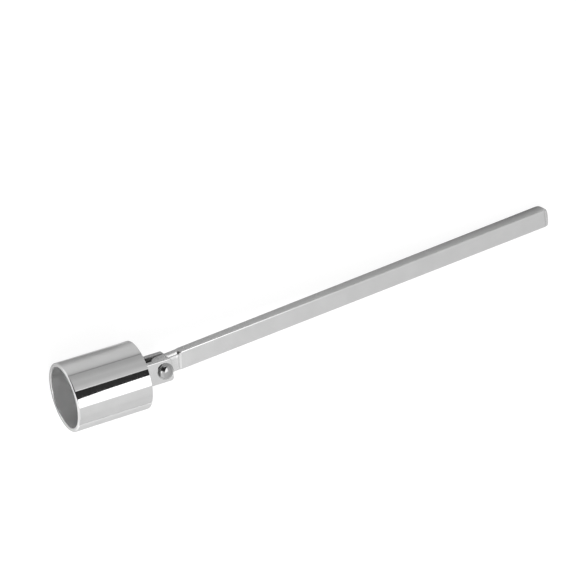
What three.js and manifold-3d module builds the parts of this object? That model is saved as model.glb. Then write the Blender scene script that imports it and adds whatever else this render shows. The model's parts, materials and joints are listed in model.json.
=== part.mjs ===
// Hinged candle snuffer: a tube cup that swings on the end of a tapering bar handle.
// Millimetres, +Z up. The snuffer lies on a table with its hinge pin nearly upright: the cup's back rim
// and the handle's far end touch the table, the mouth faces -X and the handle runs towards +X.
// Inside the snuffer the hinge pin's middle is the zero point and the pin stands along Z.

import * as THREE from 'three';
import { mergeVertices } from 'three/addons/utils/BufferGeometryUtils.js';
import Module from 'manifold-3d';

const wasm = await Module();
wasm.setup();

// Cup: a length of tube with a disc set into its back end
const CUP_DIAMETER = 25;
const CUP_WALL = 1.5;
const CUP_LENGTH = 28.3;
const CUP_RIM_ROUND = 0.45;
const CUP_BACK_EDGE_ROUND = 0.2;
const END_PLATE_THICKNESS = 1.5;

// Hinge: two ears on the end plate, the handle's tongue between them, a rivet through all three
const CUP_BACK_TO_PIN = 9.1;
const EAR_THICKNESS = 2.1;
const EAR_HEIGHT = 8.6;
const EAR_REACH_PAST_PIN = 3;
const EAR_CORNER_ROUND = 1.1;
const EAR_EDGE_BEVEL = 0.25;
const TONGUE_THICKNESS = 3.4;
const TONGUE_END_PAST_PIN = 4.3;
const TONGUE_EDGE_ROUND_IN_PLAN = 1;
const TONGUE_EDGE_ROUND_IN_THICKNESS = 0.7;
const RIVET_SHANK_DIAMETER = 3;
const RIVET_HEAD_DIAMETER = 6.1;
const RIVET_HEAD_HEIGHT = 1.75;

// Handle: a bar of one width that grows thicker from its shoulder to its rounded far end.
// Its centre line passes a little to one side of the pin.
const SHOULDER_FROM_PIN = 7.3;
const HANDLE_END_FROM_PIN = 164.6;
const HANDLE_WIDTH = 6.75;
const HANDLE_OFFSET_FROM_PIN = 0.55;
const HANDLE_THICKNESS_AT_SHOULDER = 3.8;
const HANDLE_THICKNESS_AT_END = 6.2;
const HANDLE_EDGE_BEVEL = 0.45;
const HANDLE_NOSE_LENGTH = 1.9;
const HANDLE_NOSE_ROUND = 3;

// Pose: the cup's axis is bent this far from the handle's
const HINGE_BEND = THREE.MathUtils.degToRad(4.3);

// Clearances, each on one side
const TONGUE_SIDE_PLAY = 0.2;
const PIVOT_CLEARANCE = 0.1;
const SEAT_GAP = 0.05;

// Facets of the round forms
const CUP_FACETS = 72;
const RIVET_FACETS = 40;
const ROUNDING_FACETS = 4;
const DOME_FACETS = 7;
const CORNER_FACETS = 6;

const cupRadius = CUP_DIAMETER / 2;
const cupBore = cupRadius - CUP_WALL;
const cupMouthFromPin = CUP_BACK_TO_PIN + CUP_LENGTH;
const earInnerFace = TONGUE_THICKNESS / 2 + TONGUE_SIDE_PLAY;
const earOuterFace = earInnerFace + EAR_THICKNESS;
const rivetShank = RIVET_SHANK_DIAMETER / 2;

const steel = { color: 0xd3d4d6, metalness: 1 };
const finishes = {
  cup: new THREE.MeshStandardMaterial({ ...steel, roughness: 0.1 }),
  endPlate: new THREE.MeshStandardMaterial({ ...steel, roughness: 0.35 }),
  nearEar: new THREE.MeshStandardMaterial({ ...steel, roughness: 0.14 }),
  farEar: new THREE.MeshStandardMaterial({ ...steel, roughness: 0.14 }),
  rivet: new THREE.MeshStandardMaterial({ ...steel, color: 0xabacae, roughness: 0.08 }),
  handle: new THREE.MeshStandardMaterial({ ...steel, roughness: 0.16 }),
};

// Turns a closed geometry into a solid that can be joined and cut
function solidOf(geometry) {
  geometry.deleteAttribute('normal');
  geometry.deleteAttribute('uv');
  const merged = mergeVertices(geometry);
  const vertProperties = new Float32Array(merged.attributes.position.array);
  const triVerts = new Uint32Array(merged.index.array);
  return new wasm.Manifold(new wasm.Mesh({ numProp: 3, vertProperties, triVerts }));
}

// Turns a joined or cut solid back into a geometry
function geometryOf(solid) {
  const { vertProperties, triVerts } = solid.getMesh();
  const geometry = new THREE.BufferGeometry();
  geometry.setAttribute('position', new THREE.BufferAttribute(vertProperties, 3));
  geometry.setIndex(new THREE.BufferAttribute(triVerts, 1));
  return geometry;
}

// A plate of the given outline and thickness, centred on Z = 0. Its outer edges are cut back by inPlan across
// the plate and by inThickness through it: one facet bevels them, more facets round them.
function edgedPlate(outline, thickness, inPlan, inThickness, facets) {
  const plate = new THREE.ExtrudeGeometry(outline, {
    depth: thickness - 2 * inThickness,
    bevelEnabled: true,
    bevelThickness: inThickness,
    bevelSize: inPlan,
    bevelOffset: -inPlan,
    bevelSegments: facets,
    curveSegments: CORNER_FACETS,
  });
  return plate.translate(0, 0, inThickness - thickness / 2);
}

function bevelledPlate(outline, thickness, bevel) {
  return edgedPlate(outline, thickness, bevel, bevel, 1);
}

// A round hole's cutter along the pin, longer than anything it passes through
function pinHole(radius) {
  const length = 4 * earOuterFace;
  return solidOf(new THREE.CylinderGeometry(radius, radius, length, RIVET_FACETS).rotateX(Math.PI / 2));
}

// Points of a quarter round of a lathe profile, from one angle to another about a centre
function profileArc(centreRadius, centreHeight, radius, fromAngle, toAngle, facets) {
  const points = [];
  for (let step = 0; step <= facets; step += 1) {
    const angle = fromAngle + ((toAngle - fromAngle) * step) / facets;
    points.push(new THREE.Vector2(
      centreRadius + radius * Math.cos(angle),
      centreHeight + radius * Math.sin(angle),
    ));
  }
  return points;
}

// The cup's tube. Its profile's height is the distance from the pin towards the mouth.
// A flat facet, and not an edge between two, faces straight down.
function cupTube() {
  const quarter = Math.PI / 2;
  const back = CUP_BACK_TO_PIN;
  const mouth = cupMouthFromPin;
  const outerBack = profileArc(
    cupRadius - CUP_BACK_EDGE_ROUND, back + CUP_BACK_EDGE_ROUND, CUP_BACK_EDGE_ROUND, -quarter, 0, 1,
  );
  const outerRim = profileArc(
    cupRadius - CUP_RIM_ROUND, mouth - CUP_RIM_ROUND, CUP_RIM_ROUND, 0, quarter, ROUNDING_FACETS,
  );
  const innerRim = profileArc(
    cupBore + CUP_RIM_ROUND, mouth - CUP_RIM_ROUND, CUP_RIM_ROUND, quarter, Math.PI, ROUNDING_FACETS,
  );
  const innerBack = new THREE.Vector2(cupBore, back);
  const profile = [...outerBack, ...outerRim, ...innerRim, innerBack, outerBack[0].clone()];
  const tube = new THREE.LatheGeometry(profile, CUP_FACETS, Math.PI / CUP_FACETS);
  return tube.rotateZ(Math.PI / 2);
}

// The disc that closes the cup, set into the tube flush with its back edge
function cupEndPlate() {
  const radius = cupBore - SEAT_GAP;
  const profile = [
    new THREE.Vector2(0, CUP_BACK_TO_PIN),
    new THREE.Vector2(radius, CUP_BACK_TO_PIN),
    new THREE.Vector2(radius, CUP_BACK_TO_PIN + END_PLATE_THICKNESS),
    new THREE.Vector2(0, CUP_BACK_TO_PIN + END_PLATE_THICKNESS),
  ];
  const plate = new THREE.LatheGeometry(profile, CUP_FACETS, Math.PI / CUP_FACETS);
  return plate.rotateZ(Math.PI / 2);
}

// One ear: a plate that stands on the cup's back, with its free corners rounded and a hole for the rivet.
// Its root is cut square after bevelling, so that it meets the end plate all over.
function hingeEar() {
  const root = -CUP_BACK_TO_PIN + SEAT_GAP;
  const spare = 2 * EAR_EDGE_BEVEL;
  const half = EAR_HEIGHT / 2;
  const round = EAR_CORNER_ROUND;
  const outline = new THREE.Shape();
  outline.moveTo(root - spare, -half);
  outline.lineTo(EAR_REACH_PAST_PIN - round, -half);
  outline.absarc(EAR_REACH_PAST_PIN - round, round - half, round, -Math.PI / 2, 0);
  outline.lineTo(EAR_REACH_PAST_PIN, half - round);
  outline.absarc(EAR_REACH_PAST_PIN - round, half - round, round, 0, Math.PI / 2);
  outline.lineTo(root - spare, half);
  outline.closePath();
  const plate = solidOf(bevelledPlate(outline, EAR_THICKNESS, EAR_EDGE_BEVEL));
  const trim = new THREE.BoxGeometry(2 * spare, 2 * EAR_HEIGHT, 2 * EAR_THICKNESS);
  const trimmed = plate.subtract(solidOf(trim.translate(root - spare, 0, 0)));
  return geometryOf(trimmed.subtract(pinHole(rivetShank + SEAT_GAP)));
}

// The rivet: a shank with a domed head on each ear's outer face
function hingeRivet() {
  const headRadius = RIVET_HEAD_DIAMETER / 2;
  const seat = earOuterFace + SEAT_GAP;
  const domeRadius = (headRadius ** 2 + RIVET_HEAD_HEIGHT ** 2) / (2 * RIVET_HEAD_HEIGHT);
  const domeCentre = seat + RIVET_HEAD_HEIGHT - domeRadius;
  const edgeAngle = Math.asin((seat - domeCentre) / domeRadius);
  const upperDome = profileArc(0, domeCentre, domeRadius, edgeAngle, Math.PI / 2, DOME_FACETS);
  const lowerDome = profileArc(0, -domeCentre, domeRadius, -Math.PI / 2, -edgeAngle, DOME_FACETS);
  lowerDome[0].x = 0;
  upperDome[DOME_FACETS].x = 0;
  const shank = [new THREE.Vector2(rivetShank, -seat), new THREE.Vector2(rivetShank, seat)];
  const rivet = new THREE.LatheGeometry([...lowerDome, ...shank, ...upperDome], RIVET_FACETS);
  return rivet.rotateX(Math.PI / 2);
}

// Thickness of the handle's bar at a distance from the pin
function barThickness(fromPin) {
  const share = (fromPin - SHOULDER_FROM_PIN) / (HANDLE_END_FROM_PIN - SHOULDER_FROM_PIN);
  return THREE.MathUtils.lerp(HANDLE_THICKNESS_AT_SHOULDER, HANDLE_THICKNESS_AT_END, share);
}

// The handle's bar: its plan has a square shoulder and a half-oval nose at the far end.
// It is raised at the end's thickness and then drawn down evenly towards the shoulder.
function handleBar() {
  const half = HANDLE_WIDTH / 2;
  const noseRoot = HANDLE_END_FROM_PIN - HANDLE_NOSE_LENGTH;
  const outline = new THREE.Shape();
  outline.moveTo(SHOULDER_FROM_PIN, -half);
  outline.lineTo(noseRoot, -half);
  outline.absellipse(noseRoot, 0, HANDLE_NOSE_LENGTH, half, -Math.PI / 2, Math.PI / 2);
  outline.lineTo(SHOULDER_FROM_PIN, half);
  outline.closePath();
  const bar = bevelledPlate(outline, HANDLE_THICKNESS_AT_END, HANDLE_EDGE_BEVEL);
  const position = bar.attributes.position;
  for (let i = 0; i < position.count; i += 1) {
    const drawn = barThickness(position.getX(i)) / HANDLE_THICKNESS_AT_END;
    position.setZ(i, position.getZ(i) * drawn);
  }
  return bar;
}

// A slab round the whole bar with its far end rounded in side view: what lies outside it is trimmed off
function noseSlab() {
  const half = HANDLE_THICKNESS_AT_END / 2;
  const round = HANDLE_NOSE_ROUND;
  const roundCentre = HANDLE_END_FROM_PIN - round;
  const sideView = new THREE.Shape();
  sideView.moveTo(0, -half);
  sideView.lineTo(roundCentre, -half);
  sideView.absarc(roundCentre, round - half, round, -Math.PI / 2, 0);
  sideView.absarc(roundCentre, half - round, round, 0, Math.PI / 2);
  sideView.lineTo(0, half);
  sideView.closePath();
  const breadth = 2 * HANDLE_WIDTH;
  const slab = new THREE.ExtrudeGeometry(sideView, {
    depth: breadth,
    bevelEnabled: false,
    curveSegments: CORNER_FACETS,
  });
  return slab.translate(0, 0, -breadth / 2).rotateX(Math.PI / 2);
}

// The tongue between the ears: a thinner plate of the bar's width, with a round end past the pin.
// Its edges are soft, so the bar's crisper corners stand proud of it at the shoulder.
// It runs into the bar, which it is one piece with, far enough to bury its own rounded edge there.
function handleTongue() {
  const half = HANDLE_WIDTH / 2;
  const roundCentre = half - TONGUE_END_PAST_PIN;
  const inset = SHOULDER_FROM_PIN + HANDLE_EDGE_BEVEL + TONGUE_EDGE_ROUND_IN_PLAN;
  const outline = new THREE.Shape();
  outline.moveTo(inset, half);
  outline.lineTo(roundCentre, half);
  outline.absarc(roundCentre, 0, half, Math.PI / 2, (3 * Math.PI) / 2);
  outline.lineTo(inset, -half);
  outline.closePath();
  return edgedPlate(
    outline, TONGUE_THICKNESS, TONGUE_EDGE_ROUND_IN_PLAN, TONGUE_EDGE_ROUND_IN_THICKNESS, ROUNDING_FACETS,
  );
}

// Bar and tongue as one piece, set beside the pin and bored for it
function handle() {
  const bar = solidOf(handleBar()).intersect(solidOf(noseSlab()));
  const blank = geometryOf(bar.add(solidOf(handleTongue())));
  const besidePin = solidOf(blank.translate(0, HANDLE_OFFSET_FROM_PIN, 0));
  return geometryOf(besidePin.subtract(pinHole(rivetShank + PIVOT_CLEARANCE)));
}

function piece(name, geometry, material) {
  const mesh = new THREE.Mesh(geometry, material);
  mesh.name = name;
  return mesh;
}

// The head swings about the pin with everything that is fixed to the cup
const head = new THREE.Group();
head.rotation.z = -HINGE_BEND;
const nearEar = piece('near_ear', hingeEar(), finishes.nearEar);
const farEar = piece('far_ear', hingeEar(), finishes.farEar);
nearEar.position.z = earInnerFace + EAR_THICKNESS / 2;
farEar.position.z = -nearEar.position.z;
head.add(
  piece('cup_tube', cupTube(), finishes.cup),
  piece('cup_end_plate', cupEndPlate(), finishes.endPlate),
  nearEar,
  farEar,
  piece('hinge_rivet', hingeRivet(), finishes.rivet),
);

// The lean at which the handle comes down on the table while the cup's back rim stays on it:
// the flattest line from the rim to any point of the handle
function leanOnTable(handleGeometry) {
  const rimFromPin = (CUP_BACK_TO_PIN + CUP_BACK_EDGE_ROUND) * Math.cos(HINGE_BEND);
  const rimBelowPin = cupRadius * Math.cos(Math.PI / CUP_FACETS);
  const position = handleGeometry.attributes.position;
  let lean = Math.PI / 2;
  for (let i = 0; i < position.count; i += 1) {
    const rise = position.getZ(i) + rimBelowPin;
    lean = Math.min(lean, Math.atan2(rise, position.getX(i) + rimFromPin));
  }
  return lean;
}

const handleMesh = piece('handle', handle(), finishes.handle);
const lying = new THREE.Group();
lying.rotation.y = leanOnTable(handleMesh.geometry);
lying.add(handleMesh, head);

// The origin is on the table, under the middle of the whole snuffer
const snuffer = new THREE.Group();
snuffer.add(lying);
snuffer.updateMatrixWorld(true);
const extent = new THREE.Box3().setFromObject(snuffer, true);
const middle = extent.getCenter(new THREE.Vector3());
lying.position.set(-middle.x, -middle.y, -extent.min.z);

export default snuffer;
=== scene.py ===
"""A hinged candle snuffer of polished metal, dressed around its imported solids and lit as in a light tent."""
import json
import math
from collections import namedtuple

import bmesh
import bpy
from mathutils import Matrix, Vector


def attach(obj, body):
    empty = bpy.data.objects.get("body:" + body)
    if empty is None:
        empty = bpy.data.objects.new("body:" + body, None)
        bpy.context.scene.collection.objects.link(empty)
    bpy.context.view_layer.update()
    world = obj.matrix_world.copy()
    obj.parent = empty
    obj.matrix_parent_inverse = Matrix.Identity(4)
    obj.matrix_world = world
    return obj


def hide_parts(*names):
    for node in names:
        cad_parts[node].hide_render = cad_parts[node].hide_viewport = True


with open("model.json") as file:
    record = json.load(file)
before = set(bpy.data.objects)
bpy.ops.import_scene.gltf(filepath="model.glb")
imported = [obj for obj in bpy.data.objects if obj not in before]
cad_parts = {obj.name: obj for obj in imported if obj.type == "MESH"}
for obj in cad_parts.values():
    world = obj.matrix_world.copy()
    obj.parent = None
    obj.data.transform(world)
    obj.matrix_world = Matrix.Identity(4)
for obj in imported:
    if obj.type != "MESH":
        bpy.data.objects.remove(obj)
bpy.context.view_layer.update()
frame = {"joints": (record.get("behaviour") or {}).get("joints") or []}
scene = bpy.context.scene

MM = 0.001
AXIS_X = (1, 0, 0)
AXIS_Y = (0, 1, 0)
AXIS_Z = (0, 0, 1)
WHITE = (1, 1, 1, 1)

# Cup: tube, rim and the disc set into its back end. Its length is measured from the pin.
CUP_RADIUS = 12.5 * MM
CUP_BORE = 11.0 * MM
CUP_BACK = 9.1 * MM
CUP_MOUTH = 37.4 * MM
RIM_INNER_ROUND = 0.35 * MM
RIM_OUTER_ROUND = 0.55 * MM
BACK_EDGE_ROUND = 0.2 * MM
END_PLATE_THICKNESS = 1.5 * MM
END_PLATE_EDGE = 0.12 * MM

# Hinge: ears, rivet and the handle's tongue between the ears
EAR_THICKNESS = 2.1 * MM
EAR_INNER_FACE = 1.9 * MM
EAR_HALF_HEIGHT = 4.3 * MM
EAR_TIP = 3.0 * MM
EAR_CORNER_ROUND = 1.1 * MM
EAR_EDGE = (0.4 * MM, 0.3 * MM)
EAR_ROOT_FILLET = 0.45 * MM
# Painted shade on the ears' inner faces, where they face each other across the tongue
INNER_EAR_SHADE = 0.7
RIVET_SHANK = 1.5 * MM
RIVET_HEAD = 3.05 * MM
RIVET_HEAD_HEIGHT = 1.75 * MM
RIVET_HEAD_FULLNESS = 2.35
PIVOT_CLEARANCE = 0.1 * MM
TONGUE_END = 4.3 * MM
TONGUE_TIP = 0.05 * MM
TONGUE_HALF_THICKNESS = 1.7 * MM
TONGUE_EDGE = (0.6 * MM, 0.4 * MM)
TONGUE_EDGE_SHARE = 0.9
TONGUE_FILED_FROM = 2.3 * MM
TONGUE_FILED_RUN_IN = 0.6 * MM

# The tongue's filed corner: how far each point lies below the top and in from the near face, in millimetres
FILED_CORNER = (
    (0.0, 1.2), (0.02, 0.9), (0.07, 0.732), (0.42, 0.721), (0.7, 0.712),
    (0.77, 0.7), (0.87, 0.04), (1.6, 0.017), (2.2, 0.0),
)

# Handle: one width, thicker towards its rounded nose. A tool mark runs down the tongue at the shoulder.
SHOULDER = 7.3 * MM
MARK_START = 5.8 * MM
MARK_RIDGE = (6.4 * MM, 0.05 * MM)
MARK_GROOVE = (6.8 * MM, -0.06 * MM)
MARK_SLANT = 0.1
STEP_FOOT = 7.1 * MM
STEP_HALF_THICKNESS = 1.72 * MM
STEP_TOP = 7.7 * MM
STEP_SLANT = 0.16
STEP_RUN_OUT = 9.5 * MM
CREASE = 0.02 * MM
NOTCH_DEPTH = 0.8 * MM
NOTCH_CORNER_SHARE = 0.1
HANDLE_END = 164.6 * MM
HANDLE_HALF_WIDTH = 3.375 * MM
HANDLE_OFFSET = 0.55 * MM
HALF_THICKNESS_AT_SHOULDER = 1.9 * MM
HALF_THICKNESS_AT_END = 3.1 * MM
NEAR_EDGE = (0.65 * MM, 0.3 * MM)
NEAR_EDGE_FULLNESS = 3.0
FAR_EDGE_AT_SHOULDER = (0.35 * MM, 0.3 * MM)
FAR_EDGE_AT_END = (0.5 * MM, 1.1 * MM)
NOSE_LENGTH = 1.9 * MM
NOSE_ROUND = 3.0 * MM
NOSE_TIP = 0.1 * MM
NOSE_EDGE_SHARE = 0.85
NOSE_EDGE_POWER = 3

# The fullness of an oval. A greater one is nearer to a rectangle.
OVAL = 2

# Fineness of the round forms, and how near counts as on the spot
LATHE_STEPS = 192
ARC_STEPS = 8
EAR_CORNER_STEPS = 16
RIVET_HEAD_STEPS = 32
TONGUE_END_STEPS = 42
NOSE_STEPS = 28
BORE_STEPS = 96
BORE_CUT_LENGTH = 20 * MM
ON_AXIS = 0.001 * MM
TOLERANCE = 0.01 * MM

# The photograph's camera: where the pin lies in its picture, how far off the pin is, and how the camera
# is turned in the handle's frame
PICTURE_SIZE = 576
SENSOR_WIDTH = 36.0
FOCAL_PIXELS = 2534.7
PIN_PIXEL = (160.4, 367.5)
CAMERA_DISTANCE = 0.893
CAMERA_AZIMUTH = math.radians(-24.40)
CAMERA_ELEVATION = math.radians(24.97)
CAMERA_ROLL = math.radians(-10.41)
CAMERA_NEAREST = 0.01
CAMERA_FARTHEST = 50

# The frames of the handle and the head meet in the pin. Z is the pin, towards the photograph's viewer,
# Y is up in the picture, and X runs from the cup's mouth towards the handle's nose. The joint's range is
# even about the straight pose, so its middle is the bend at rest.
joint = frame["joints"][0]
pin = Vector(joint["pos_m"])
pin_axis = Vector(joint["axis"])
bend = math.radians(sum(joint["range_deg"]) / 2)
handle_frame = Matrix.Translation(pin) @ Matrix.Rotation(math.atan2(pin_axis.x, pin_axis.z), 4, "Y")
head_frame = handle_frame @ Matrix.Rotation(-bend, 4, "Z")


def add_camera():
    """The photograph's viewpoint."""
    back = Vector((
        math.sin(CAMERA_AZIMUTH) * math.cos(CAMERA_ELEVATION),
        math.sin(CAMERA_ELEVATION),
        math.cos(CAMERA_AZIMUTH) * math.cos(CAMERA_ELEVATION),
    ))
    right = Vector(AXIS_Y).cross(back).normalized()
    turned = Matrix((right, back.cross(right), back)).transposed().to_4x4()
    turned = turned @ Matrix.Rotation(CAMERA_ROLL, 4, "Z")
    across = (PIN_PIXEL[0] - PICTURE_SIZE / 2) / FOCAL_PIXELS * CAMERA_DISTANCE
    down = (PIN_PIXEL[1] - PICTURE_SIZE / 2) / FOCAL_PIXELS * CAMERA_DISTANCE
    step_back = Matrix.Translation((-across, down, CAMERA_DISTANCE))
    camera = bpy.data.objects.new("camera", bpy.data.cameras.new("camera"))
    camera.data.sensor_width = SENSOR_WIDTH
    camera.data.lens = FOCAL_PIXELS * SENSOR_WIDTH / PICTURE_SIZE
    camera.data.clip_start = CAMERA_NEAREST
    camera.data.clip_end = CAMERA_FARTHEST
    camera.matrix_world = handle_frame @ turned @ step_back
    scene.collection.objects.link(camera)
    scene.camera = camera


add_camera()
scene.view_settings.view_transform = "Standard"


# Nodes

def new_material(name):
    """A material with nodes, and its shader."""
    material = bpy.data.materials.new(name)
    material.use_nodes = True
    return material, material.node_tree.nodes["Principled BSDF"]


def feed(tree, value, socket):
    """Gives a socket a plain number, or links it to the output that makes its value."""
    if isinstance(value, (int, float)):
        socket.default_value = value
    else:
        tree.links.new(value, socket)


def arithmetic(tree, operation, first, second):
    node = tree.nodes.new("ShaderNodeMath")
    node.operation = operation
    feed(tree, first, node.inputs[0])
    feed(tree, second, node.inputs[1])
    return node.outputs[0]


def added(tree, first, second):
    return arithmetic(tree, "ADD", first, second)


def times(tree, first, second):
    return arithmetic(tree, "MULTIPLY", first, second)


def mixed(tree, share, first, second):
    """First where share is 0, second where it is 1."""
    mix = tree.nodes.new("ShaderNodeMix")
    feed(tree, share, mix.inputs[0])
    feed(tree, first, mix.inputs[2])
    feed(tree, second, mix.inputs[3])
    return mix.outputs[0]


def ramp(tree, value, start, end, low, high, shape="SMOOTHSTEP"):
    """Low up to start, high from end on, and a step between them, soft unless its shape is linear."""
    step = tree.nodes.new("ShaderNodeMapRange")
    step.interpolation_type = shape
    step.inputs["From Min"].default_value = start
    step.inputs["From Max"].default_value = end
    step.inputs["To Min"].default_value = low
    step.inputs["To Max"].default_value = high
    tree.links.new(value, step.inputs["Value"])
    return step.outputs["Result"]


def grey(tree, tone):
    """The grey colour of a tone."""
    colour = tree.nodes.new("ShaderNodeCombineColor")
    for channel in ("Red", "Green", "Blue"):
        tree.links.new(tone, colour.inputs[channel])
    return colour.outputs["Color"]


# Metals: clouds and polishing lines to the metre, how the lines are drawn out, edge wear, and painted shade in
# recesses, which are made rougher too

TONE_CLOUDS = 180
ROUGHNESS_CLOUDS = 320
POLISHING_LINES = 9000
NOISE_MIDDLE = (0.3, 0.7)
LINE_DEPTH = 0.01 * MM
ROUND_THE_CUP = (1, 0.02, 0.02)
ALONG_THE_BAR = (0.01, 1, 1)
EVEN = (1, 1, 1)
EDGE_WEAR = 0.03
# Painted shade in recesses: how much their tone is lowered, and how much rougher they are made
RECESS_SHADE_TONE = -0.7
RECESS_ROUGHNESS = 0.3


def noise(tree, scale, stretch=EVEN, detail=3.0):
    """Noise in the piece's own frame, in metres, drawn out along the axes where stretch is small."""
    place = tree.nodes.new("ShaderNodeTexCoord")
    mapping = tree.nodes.new("ShaderNodeMapping")
    mapping.inputs["Scale"].default_value = [scale * share for share in stretch]
    texture = tree.nodes.new("ShaderNodeTexNoise")
    texture.inputs["Scale"].default_value = 1.0
    texture.inputs["Detail"].default_value = detail
    tree.links.new(place.outputs["Object"], mapping.inputs["Vector"])
    tree.links.new(mapping.outputs["Vector"], texture.inputs["Vector"])
    return texture.outputs[0]


def about(tree, clouds, middle, reach):
    """Noise spread about a middle value, as far as reach to either side."""
    return ramp(tree, clouds, *NOISE_MIDDLE, middle - reach, middle + reach, shape="LINEAR")


def marked(tree, mark, amount):
    """Amount where the piece carries the mark: its worn edges, or the painted shade in its recesses."""
    attribute = tree.nodes.new("ShaderNodeAttribute")
    attribute.attribute_name = mark
    return times(tree, attribute.outputs["Fac"], amount)


def metal(name, tone, tone_reach, roughness, roughness_reach, lines_along, line_strength, wear_and_shade=False):
    """Metal of cloudy tone with fine polishing lines. A piece with wear and shade marks has worn edges, paler
    and duller, and painted shade in its recesses, which are duller too.
    """
    material, shader = new_material(name)
    tree = material.node_tree
    shader.inputs["Metallic"].default_value = 1.0
    shade = about(tree, noise(tree, TONE_CLOUDS), tone, tone_reach)
    lines = noise(tree, POLISHING_LINES, lines_along, detail=2.0)
    rough = about(tree, noise(tree, ROUGHNESS_CLOUDS, detail=4.0), roughness, roughness_reach)
    rough = added(tree, rough, about(tree, lines, 0, roughness_reach / 2))
    if wear_and_shade:
        shade = added(tree, shade, marked(tree, "edge", EDGE_WEAR))
        shade = added(tree, shade, marked(tree, "grime", RECESS_SHADE_TONE))
        rough = added(tree, rough, marked(tree, "edge", EDGE_WEAR))
        rough = added(tree, rough, marked(tree, "grime", RECESS_ROUGHNESS))
    tree.links.new(grey(tree, shade), shader.inputs["Base Color"])
    tree.links.new(rough, shader.inputs["Roughness"])
    bump = tree.nodes.new("ShaderNodeBump")
    bump.inputs["Distance"].default_value = LINE_DEPTH
    bump.inputs["Strength"].default_value = line_strength
    tree.links.new(lines, bump.inputs["Height"])
    tree.links.new(bump.outputs["Normal"], shader.inputs["Normal"])
    return material


cup_polish = metal(
    "cup_polish", tone=0.86, tone_reach=0.02, roughness=0.05, roughness_reach=0.015,
    lines_along=ROUND_THE_CUP, line_strength=0.02,
)
bore_satin = metal(
    "bore_satin", tone=0.96, tone_reach=0.03, roughness=0.38, roughness_reach=0.05,
    lines_along=ROUND_THE_CUP, line_strength=0.35,
)
# The end plate's low tone is painted shade, for the dark back end of the cup between the ears
plate_satin = metal(
    "plate_satin", tone=0.30, tone_reach=0.04, roughness=0.32, roughness_reach=0.06,
    lines_along=EVEN, line_strength=0.35,
)
ear_polish = metal(
    "ear_polish", tone=0.84, tone_reach=0.02, roughness=0.09, roughness_reach=0.02,
    lines_along=ALONG_THE_BAR, line_strength=0.05, wear_and_shade=True,
)
rivet_polish = metal(
    "rivet_polish", tone=0.53, tone_reach=0.02, roughness=0.06, roughness_reach=0.02,
    lines_along=EVEN, line_strength=0.02,
)
bar_polish = metal(
    "bar_polish", tone=0.84, tone_reach=0.02, roughness=0.13, roughness_reach=0.03,
    lines_along=ALONG_THE_BAR, line_strength=0.08, wear_and_shade=True,
)


# Pieces

def arc(radius, start, end, steps):
    """Points of an arc about zero, as (cosine side, sine side), from one angle to another in degrees."""
    angles = [math.radians(start + (end - start) * i / steps) for i in range(steps + 1)]
    return [(radius * math.cos(angle), radius * math.sin(angle)) for angle in angles]


def lathe(bm, profile, closed):
    """Turns a profile of (along X, radius) round the X axis. Points of no radius lie on the axis."""
    turns = [2 * math.pi * i / LATHE_STEPS for i in range(LATHE_STEPS)]
    rings = []
    for along, radius in profile:
        if radius < ON_AXIS:
            rings.append([bm.verts.new((along, 0, 0))] * LATHE_STEPS)
            continue
        places = [(along, radius * math.cos(turn), radius * math.sin(turn)) for turn in turns]
        rings.append([bm.verts.new(place) for place in places])
    followers = rings[1:] + rings[:1] if closed else rings[1:]
    for first, second in zip(rings, followers):
        for i in range(LATHE_STEPS):
            j = (i + 1) % LATHE_STEPS
            corners = list(dict.fromkeys([first[i], first[j], second[j], second[i]]))
            bm.faces.new(corners)


# One cross-section of a bar along X. Its corners reach edge = (along Y, along Z) into it, and their fullness
# says how crisp they are. On the -Z side they may have an oval far_edge of their own. The corner at +Y and
# +Z may be filed and may carry painted shade. The +Y half may bulge, and the section may slant.
Station = namedtuple(
    "Station", "x middle_y half_y half_z edge far_edge fullness filed bulge slant grime",
    defaults=(None, OVAL, False, 0, 0, 0),
)


def section(station):
    """The points (y, z) of a cross-section, and how far into its corner each point is."""
    points = []
    for quarter, (sign_y, sign_z) in enumerate(((1, 1), (-1, 1), (-1, -1), (1, -1))):
        own_edge = station.far_edge if sign_z < 0 else None
        round_y, round_z = own_edge or station.edge
        power = 1 if own_edge else OVAL / station.fullness
        half_z = station.half_z + max(sign_y, 0) * station.bulge
        middle_y = sign_y * (station.half_y - round_y)
        middle_z = sign_z * (half_z - round_z)
        corner = arc(1.0, 90 * quarter, 90 * quarter + 90, ARC_STEPS)
        for i, (y, z) in enumerate(corner):
            out_y = sign_y * round_y * max(sign_y * y, 0) ** power
            out_z = sign_z * round_z * max(sign_z * z, 0) ** power
            points.append((middle_y + out_y, middle_z + out_z, math.sin(math.pi * i / ARC_STEPS)))
    if station.filed:
        top_z = station.half_z + station.bulge
        for i, (down, inward) in enumerate(FILED_CORNER):
            points[i] = (station.half_y - down * MM, top_z - inward * MM, points[i][2])
    return points


def loft(bm, stations):
    """A bar through the stations, with its corners marked for wear, and the notch's corner marked for painted
    shade.
    """
    edge = bm.verts.layers.float.new("edge")
    grime = bm.verts.layers.float.new("grime")
    rings = []
    for station in stations:
        ring = []
        for y, z, share in section(station):
            vertex = bm.verts.new((station.x + station.slant * y, station.middle_y + y, z))
            vertex[edge] = share
            # Painted shade in the notch: its corner at +Y and +Z is darkened where the station asks for it
            in_notch = z > 0 and y > station.half_y - NOTCH_DEPTH and share > NOTCH_CORNER_SHARE
            vertex[grime] = station.grime if in_notch else 0
            ring.append(vertex)
        rings.append(ring)
    for first, second in zip(rings, rings[1:]):
        for i, vertex in enumerate(first):
            j = (i + 1) % len(first)
            bm.faces.new((vertex, first[j], second[j], second[i]))
    bm.faces.new(reversed(rings[0]))
    bm.faces.new(rings[-1])


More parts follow.
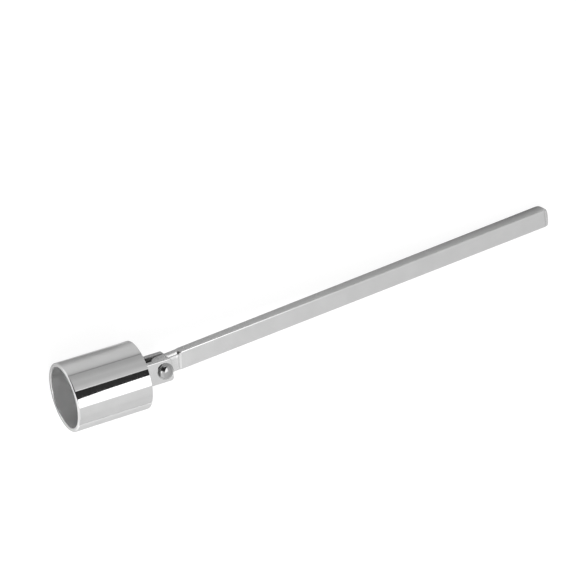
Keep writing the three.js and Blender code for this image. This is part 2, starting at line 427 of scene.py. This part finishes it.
def new_object(name, bm, *materials):
    """A mesh object in the scene. Its bmesh is used up."""
    mesh = bpy.data.meshes.new(name)
    bm.to_mesh(mesh)
    bm.free()
    for material in materials:
        mesh.materials.append(material)
    made = bpy.data.objects.new(name, mesh)
    scene.collection.objects.link(made)
    return made


def add_piece(name, bm, place, body, node, slot, *materials):
    """Makes a piece, in a frame of its own. It stands for a CAD node and moves with its body."""
    bmesh.ops.recalc_face_normals(bm, faces=bm.faces)
    piece = new_object(name, bm, *materials)
    piece.matrix_world = place
    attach(piece, body)
    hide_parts(node)
    return piece


def smooth(piece, sharp_above=40):
    """Smooth shading that keeps flat faces flat, and edges sharp above an angle in degrees."""
    piece.data.shade_smooth()
    piece.data.set_sharp_from_angle(angle=math.radians(sharp_above))
    weighted = piece.modifiers.new("flat_faces", "WEIGHTED_NORMAL")
    weighted.keep_sharp = True


def bore_through(piece, radius, place):
    """Cuts the pin's hole through a piece."""
    bm = bmesh.new()
    bmesh.ops.create_cone(
        bm, cap_ends=True, segments=BORE_STEPS, radius1=radius, radius2=radius, depth=BORE_CUT_LENGTH,
    )
    cutter = new_object("pin_cutter", bm)
    cutter.matrix_world = place
    cut = piece.modifiers.new("pin_hole", "BOOLEAN")
    cut.operation = "DIFFERENCE"
    cut.solver = "EXACT"
    cut.object = cutter
    bpy.context.view_layer.update()
    evaluated = piece.evaluated_get(bpy.context.evaluated_depsgraph_get())
    holed = bpy.data.meshes.new_from_object(evaluated)
    piece.modifiers.remove(cut)
    piece.data = holed
    bpy.data.objects.remove(cutter)


def cup_tube():
    """The tube, polished outside and satin in its bore."""
    inner_rim = [
        (-CUP_MOUTH + RIM_INNER_ROUND - x, CUP_BORE + RIM_INNER_ROUND - r)
        for r, x in arc(RIM_INNER_ROUND, 0, 90, ARC_STEPS)
    ]
    outer_rim = [
        (-CUP_MOUTH + RIM_OUTER_ROUND - x, CUP_RADIUS - RIM_OUTER_ROUND + r)
        for r, x in arc(RIM_OUTER_ROUND, 90, 0, ARC_STEPS)
    ]
    back_edge = [
        (-CUP_BACK - BACK_EDGE_ROUND + x, CUP_RADIUS - BACK_EDGE_ROUND + r)
        for r, x in arc(BACK_EDGE_ROUND, 0, 90, ARC_STEPS)
    ]
    bm = bmesh.new()
    lathe(bm, [(-CUP_BACK, CUP_BORE), *inner_rim, *outer_rim, *back_edge], closed=True)
    for face in bm.faces:
        middle = face.calc_center_median()
        if math.hypot(middle.y, middle.z) < CUP_BORE + TOLERANCE:
            face.material_index = 1
    piece = add_piece("cup", bm, head_frame, "head", "cup_tube", "cup_steel", cup_polish, bore_satin)
    smooth(piece)


def cup_end_plate():
    """The disc in the tube's back end. Its side in the cup has the bore's satin."""
    inside = -CUP_BACK - END_PLATE_THICKNESS
    profile = [
        (-CUP_BACK, 0),
        (-CUP_BACK, CUP_BORE - END_PLATE_EDGE),
        (-CUP_BACK - END_PLATE_EDGE, CUP_BORE),
        (inside, CUP_BORE),
        (inside, 0),
    ]
    bm = bmesh.new()
    lathe(bm, profile, closed=False)
    for face in bm.faces:
        if face.calc_center_median().x < inside + TOLERANCE:
            face.material_index = 1
    materials = (plate_satin, bore_satin)
    piece = add_piece("end_plate", bm, head_frame, "head", "cup_end_plate", "end_plate_steel", *materials)
    smooth(piece, sharp_above=20)


def hinge_ear(name, node, side):
    """One ear. Its root flares in a small braze fillet where it stands on the end plate."""
    half = EAR_THICKNESS / 2
    stations = []
    for along, inward in arc(EAR_ROOT_FILLET, 180, 90, ARC_STEPS):
        spread = EAR_ROOT_FILLET - inward
        x = -CUP_BACK + EAR_ROOT_FILLET + along
        stations.append(Station(x, 0, EAR_HALF_HEIGHT + spread, half + spread, EAR_EDGE))
    corner = EAR_TIP - EAR_CORNER_ROUND
    tip_round = EAR_EDGE[1]
    for rise, along in arc(EAR_CORNER_ROUND, 0, 90, EAR_CORNER_STEPS):
        half_y = EAR_HALF_HEIGHT - EAR_CORNER_ROUND + rise
        past = max(0.0, along - (EAR_CORNER_ROUND - tip_round))
        drop = tip_round - math.sqrt(max(0.0, tip_round ** 2 - past ** 2))
        stations.append(Station(corner + along, 0, half_y, half - drop, EAR_EDGE))
    bm = bmesh.new()
    loft(bm, stations)
    # Painted shade on the inner face, between the ears
    grime = bm.verts.layers.float["grime"]
    for vertex in bm.verts:
        if -side * vertex.co.z > half - EAR_EDGE[1] / 2:
            vertex[grime] = INNER_EAR_SHADE
    middle = Matrix.Translation((0, 0, side * (EAR_INNER_FACE + half)))
    piece = add_piece(name, bm, head_frame @ middle, "head", node, "ear_steel", ear_polish)
    bore_through(piece, RIVET_SHANK, head_frame)
    smooth(piece)


def hinge_rivet():
    """A pin with a head on each end, flatter on top and steeper at its rim than a ball's cap."""
    seat = EAR_INNER_FACE + EAR_THICKNESS
    power = OVAL / RIVET_HEAD_FULLNESS
    upper = [
        (seat + RIVET_HEAD_HEIGHT * max(rise, 0) ** power, RIVET_HEAD * max(reach, 0) ** power)
        for reach, rise in arc(1.0, 0, 90, RIVET_HEAD_STEPS)
    ]
    lower = [(-along, radius) for along, radius in reversed(upper)]
    bm = bmesh.new()
    lathe(bm, [*lower, (-seat, RIVET_SHANK), (seat, RIVET_SHANK), *upper], closed=False)
    upright = head_frame @ Matrix.Rotation(-math.pi / 2, 4, "Y")
    piece = add_piece("rivet", bm, upright, "head", "hinge_rivet", "rivet_steel", rivet_polish)
    smooth(piece, sharp_above=50)


def along_bar(x, at_shoulder, at_end):
    """A size that grows evenly from the shoulder to the handle's end."""
    return at_shoulder + (at_end - at_shoulder) * (x - SHOULDER) / (HANDLE_END - SHOULDER)


def half_thickness(x):
    return along_bar(x, HALF_THICKNESS_AT_SHOULDER, HALF_THICKNESS_AT_END)


def far_edge(x):
    return [along_bar(x, *sizes) for sizes in zip(FAR_EDGE_AT_SHOULDER, FAR_EDGE_AT_END)]


def grown(edge, full, share):
    """An edge that has grown by a share towards a full one, and never past it."""
    return [min(start + (end - start) * share, end) for start, end in zip(edge, full)]


def creased(*stations):
    """Each station twice, close together, so that the faces between two stations stay flat in the light."""
    return [station._replace(x=station.x + shift) for station in stations for shift in (0, CREASE)]


def tongue_stations():
    """From the tongue's round end past the pin to the tool mark at its root."""
    centre = HANDLE_HALF_WIDTH - TONGUE_END
    stations = []
    for along, rise in arc(1.0, 180, 90, TONGUE_END_STEPS):
        half_y = max(HANDLE_HALF_WIDTH * rise, TONGUE_TIP)
        edge = [min(reach, TONGUE_EDGE_SHARE * half_y) for reach in TONGUE_EDGE]
        x = centre + HANDLE_HALF_WIDTH * along
        stations.append(Station(x, HANDLE_OFFSET, half_y, TONGUE_HALF_THICKNESS, edge))
    plain = stations[-1]._replace(x=TONGUE_FILED_FROM - TONGUE_FILED_RUN_IN)
    filed = plain._replace(x=TONGUE_FILED_FROM, filed=True)
    before_mark = filed._replace(x=MARK_START, slant=MARK_SLANT)
    ridge = before_mark._replace(x=MARK_RIDGE[0], bulge=MARK_RIDGE[1])
    groove = before_mark._replace(x=MARK_GROOVE[0], bulge=MARK_GROOVE[1])
    # Painted shade in the tool mark's groove
    notch = groove._replace(x=groove.x + CREASE, grime=1)
    return [*stations, plain, filed, *creased(before_mark, ridge), groove, notch]


def bar_stations():
    """From the step at the shoulder to the nose, which is round in plan and in side view."""
    foot = Station(
        x=STEP_FOOT, middle_y=HANDLE_OFFSET, half_y=HANDLE_HALF_WIDTH, half_z=STEP_HALF_THICKNESS,
        edge=NEAR_EDGE, far_edge=far_edge(STEP_FOOT), fullness=NEAR_EDGE_FULLNESS, slant=STEP_SLANT,
    )
    stations = [
        # Painted shade at the step's foot
        foot._replace(grime=1),
        foot._replace(x=STEP_FOOT + CREASE),
        *creased(foot._replace(x=STEP_TOP, half_z=half_thickness(STEP_TOP))),
        foot._replace(x=STEP_RUN_OUT, half_z=half_thickness(STEP_RUN_OUT), slant=0),
    ]
    for rise, along in arc(1.0, 0, 90, NOSE_STEPS):
        x = HANDLE_END - NOSE_ROUND * (1 - along)
        into_nose = max(0.0, x - (HANDLE_END - NOSE_LENGTH)) / NOSE_LENGTH
        half_y = max(HANDLE_HALF_WIDTH * math.sqrt(max(0.0, 1 - into_nose ** 2)), NOSE_TIP)
        half_z = max(half_thickness(x) - NOSE_ROUND * (1 - rise), NOSE_TIP)
        full = (NOSE_EDGE_SHARE * half_y, NOSE_EDGE_SHARE * half_z)
        share = along ** NOSE_EDGE_POWER
        stations.append(Station(
            x=x, middle_y=HANDLE_OFFSET, half_y=half_y, half_z=half_z,
            edge=grown(NEAR_EDGE, full, share), far_edge=grown(far_edge(x), full, share),
            fullness=NEAR_EDGE_FULLNESS + (OVAL - NEAR_EDGE_FULLNESS) * along,
        ))
    return stations


def handle():
    """The tongue and the bar, in one piece."""
    bm = bmesh.new()
    loft(bm, tongue_stations() + bar_stations())
    piece = add_piece("handle_bar", bm, handle_frame, "handle", "handle", "handle_steel", bar_polish)
    bore_through(piece, RIVET_SHANK + PIVOT_CLEARANCE, handle_frame)
    smooth(piece)


cup_tube()
cup_end_plate()
hinge_ear("ear_near", "near_ear", 1)
hinge_ear("ear_far", "far_ear", -1)
hinge_rivet()
handle()


# Studio: a light tent with a bright ceiling, and a dark opening in it where the camera stands. A step is
# written as (start, end, value before it, value after it), in metres of the room or parts of a direction.

CEILING_HEIGHT = 0.7
CEILING_SIZE = 2.6
CLOTH_X = ((-0.3, 0.05, 0.95, 0.73), (0.15, 0.45, 1, 0.88), (0.45, 1.1, 1, 0.75))
BACK_CLOTH = (0.43, 0.5, 0, 1)
BACK_CLOTH_GLOW = (0.43, 0.9, 0.6, 0.48)
SOFTBOX_GLOW = 1.7
SOFTBOX_X = ((0.0, 0.12, 0, 1), (0.21, 0.36, 1, 0))
SOFTBOX_Y = ((-0.33, -0.25, 0, 1),)
SIDE_LIGHT = (-0.45, -0.06)
SIDE_LIGHT_FADE = (0.06, 0.22, 1, 0)

OPENING_OUTLINE = (
    (0.02, -0.18), (0.2, 0.116), (0.62, 0.42), (0.05, 0.455), (-0.1, 0.6),
    (-0.3, 4.0), (-4.0, 4.0), (-4.0, 1.2), (-0.3, 0.08),
)
OPENING_DROP = 0.01
OPENING_TONE = 0.02
OPENING_OUTWARD = (-0.7, 0.7, 0)
OPENING_GLOW = (0.4, 1.2, 0.02, 0.12)

DIM_WALL = (0.45, 0.9, 0)
DIM_WALL_SHARE = (-0.1, 0.8, 0, 1)
DIM_WALL_GLOW = (0.0, 0.75, 0.38, 0.58)
BRIGHT_WALL = (-1, 0, 0)
BRIGHT_WALL_GLOW = (0.7, 1.0, 0.67, 1.05)

FLOOR_SIZE = 8
FLOOR_TONE = 0.15
FLOOR_GLOW = 0.9
BOUNCE_HEIGHT = -0.05 * MM
# Painted light on the mirrored floor: its tone falls from -Y towards +Y
BOUNCE_TONE_Y = ((-0.35, 0.45, 0.63, 0.33),)
BEFORE_MOUTH_X = ((-0.118, -0.106, 1.5, 1.0),)
BAR_SHADE = 0.5
BAR_SHADE_X = ((-0.04, 0.02, 0, 1),)
BAR_SHADE_Y = ((-0.008, -0.003, 0, 1), (0.001, 0.0048, 1, 0))
MOUTH_SHADE = 0.4
MOUTH_SHADE_X = ((-0.109, -0.103, 0, 1), (-0.1, -0.097, 1, 0))
MOUTH_SHADE_Y = ((-0.024, -0.013, 0, 1), (-0.006, 0.005, 1, 0))
CUP_LIGHT_X = ((-0.1, -0.094, 0, 1), (-0.074, -0.066, 0.45, 0))
CUP_LIGHT_Y = ((-0.005, 0.005, 0, 1), (0.009, 0.0145, 1, 0))

BACKDROP_RADIUS = 3.9
BACKDROP_GLOW = 1.0
BACKDROP_STEPS = 64
KEY_PLACE = (-0.15, -0.45, 0.78)
KEY_SIZE = 0.35
KEY_POWER = 4.7


def sheet(name, corners, material):
    """A flat sheet of the studio through the given corners."""
    bm = bmesh.new()
    bm.faces.new([bm.verts.new(corner) for corner in corners])
    made = new_object(name, bm, material)
    return made


def square(size, height):
    half = size / 2
    return [(-half, -half, height), (half, -half, height), (half, half, height), (-half, half, height)]


def seen_by(made, camera=False, glossy=False, diffuse=False):
    """Which rays meet a part of the studio. It throws no shadow."""
    made.visible_camera = camera
    made.visible_glossy = glossy
    made.visible_diffuse = diffuse
    made.visible_shadow = False
    made.visible_transmission = False


def position(tree):
    """The place in the room."""
    return tree.nodes.new("ShaderNodeNewGeometry").outputs["Position"]


def component(tree, vector, direction):
    """The vector's length along a direction."""
    dot = tree.nodes.new("ShaderNodeVectorMath")
    dot.operation = "DOT_PRODUCT"
    dot.inputs[1].default_value = direction
    tree.links.new(vector, dot.inputs[0])
    return dot.outputs["Value"]


def field(tree, x_steps=(), y_steps=()):
    """The product of soft steps along the room's X and Y."""
    product = 1.0
    for axis, steps in ((AXIS_X, x_steps), (AXIS_Y, y_steps)):
        along_axis = component(tree, position(tree), axis)
        for step in steps:
            product = times(tree, product, ramp(tree, along_axis, *step))
    return product


def studio_material(name, tone=0.0):
    """A matt studio surface that can glow white, and its shader."""
    material, shader = new_material(name)
    shader.inputs["Base Color"].default_value = (tone, tone, tone, 1)
    shader.inputs["Roughness"].default_value = 1.0
    shader.inputs["Specular IOR Level"].default_value = 0
    shader.inputs["Emission Color"].default_value = WHITE
    return material, shader


def tent_ceiling():
    """The pale cloth overhead, dimmer at the back, with the softbox and a round side light in it."""
    material, shader = studio_material("ceiling_cloth")
    tree = material.node_tree
    glow = mixed(tree, field(tree, SOFTBOX_X, SOFTBOX_Y), field(tree, CLOTH_X), SOFTBOX_GLOW)
    from_side_light = tree.nodes.new("ShaderNodeVectorMath")
    from_side_light.operation = "DISTANCE"
    from_side_light.inputs[1].default_value = (*SIDE_LIGHT, CEILING_HEIGHT)
    tree.links.new(position(tree), from_side_light.inputs[0])
    in_side_light = ramp(tree, from_side_light.outputs["Value"], *SIDE_LIGHT_FADE)
    glow = mixed(tree, in_side_light, glow, SOFTBOX_GLOW)
    y = component(tree, position(tree), AXIS_Y)
    glow = mixed(tree, ramp(tree, y, *BACK_CLOTH), glow, ramp(tree, y, *BACK_CLOTH_GLOW))
    tree.links.new(glow, shader.inputs["Emission Strength"])
    seen_by(sheet("ceiling", square(CEILING_SIZE, CEILING_HEIGHT), material), glossy=True, diffuse=True)


def camera_opening():
    """The dark gap in the tent. It narrows towards +X and opens towards the camera's side."""
    material, shader = studio_material("opening_black", OPENING_TONE)
    tree = material.node_tree
    outward = component(tree, position(tree), OPENING_OUTWARD)
    tree.links.new(ramp(tree, outward, *OPENING_GLOW), shader.inputs["Emission Strength"])
    height = CEILING_HEIGHT - OPENING_DROP
    opening = sheet("camera_opening", [(x, y, height) for x, y in OPENING_OUTLINE], material)
    seen_by(opening, glossy=True)


def tent_walls():
    """Soft light from all round: brightest straight before the cup's mouth, and dimmer towards +X and +Y."""
    world = bpy.data.worlds.new("tent_walls")
    world.use_nodes = True
    scene.world = world
    tree = world.node_tree
    direction = tree.nodes.new("ShaderNodeTexCoord").outputs["Generated"]
    dim_share = ramp(tree, component(tree, direction, DIM_WALL), *DIM_WALL_SHARE)
    dim = ramp(tree, component(tree, direction, AXIS_Z), *DIM_WALL_GLOW)
    bright = ramp(tree, component(tree, direction, BRIGHT_WALL), *BRIGHT_WALL_GLOW)
    background = tree.nodes["Background"]
    background.inputs["Color"].default_value = WHITE
    tree.links.new(mixed(tree, dim_share, bright, dim), background.inputs["Strength"])


def tent_floor():
    """A white floor that only the camera sees, and just under it the floor that the metal mirrors.

    The second one is greyer, and darker towards +Y: painted light from the -Y side. It carries painted
    shade under the bar and at the cup's mouth, and painted light before the mouth and beside the cup.
    """
    white, shader = studio_material("floor_white", FLOOR_TONE)
    shader.inputs["Emission Strength"].default_value = FLOOR_GLOW
    seen_by(sheet("floor", square(FLOOR_SIZE, 0), white), camera=True)
    pale, shader = studio_material("floor_pale")
    tree = pale.node_tree
    tone = field(tree, BEFORE_MOUTH_X, BOUNCE_TONE_Y)
    tone = times(tree, tone, mixed(tree, field(tree, BAR_SHADE_X, BAR_SHADE_Y), 1.0, BAR_SHADE))
    tone = times(tree, tone, mixed(tree, field(tree, MOUTH_SHADE_X, MOUTH_SHADE_Y), 1.0, MOUTH_SHADE))
    tree.links.new(grey(tree, tone), shader.inputs["Base Color"])
    tree.links.new(field(tree, CUP_LIGHT_X, CUP_LIGHT_Y), shader.inputs["Emission Strength"])
    seen_by(sheet("floor_bounce", square(FLOOR_SIZE, BOUNCE_HEIGHT), pale), glossy=True, diffuse=True)


def backdrop():
    """A white wall all round, for the camera alone, where it looks past the floor's far edge."""
    material, shader = studio_material("backdrop_white")
    shader.inputs["Emission Strength"].default_value = BACKDROP_GLOW
    bm = bmesh.new()
    bmesh.ops.create_cone(
        bm, segments=BACKDROP_STEPS, radius1=BACKDROP_RADIUS, radius2=BACKDROP_RADIUS,
        depth=2 * BACKDROP_RADIUS,
    )
    wall = new_object("backdrop", bm, material)
    seen_by(wall, camera=True)


def key_light():
    """The light that gives the floor its soft shadows. It isn't mirrored in the metal."""
    lamp = bpy.data.lights.new("key", "AREA")
    lamp.size = KEY_SIZE
    lamp.energy = KEY_POWER
    key = bpy.data.objects.new("key", lamp)
    scene.collection.objects.link(key)
    facing = (-Vector(KEY_PLACE)).to_track_quat("-Z", "Y").to_matrix().to_4x4()
    key.matrix_world = Matrix.Translation(KEY_PLACE) @ facing
    key.visible_camera = False
    key.visible_glossy = False


tent_ceiling()
camera_opening()
key_light()
tent_walls()
tent_floor()
backdrop()
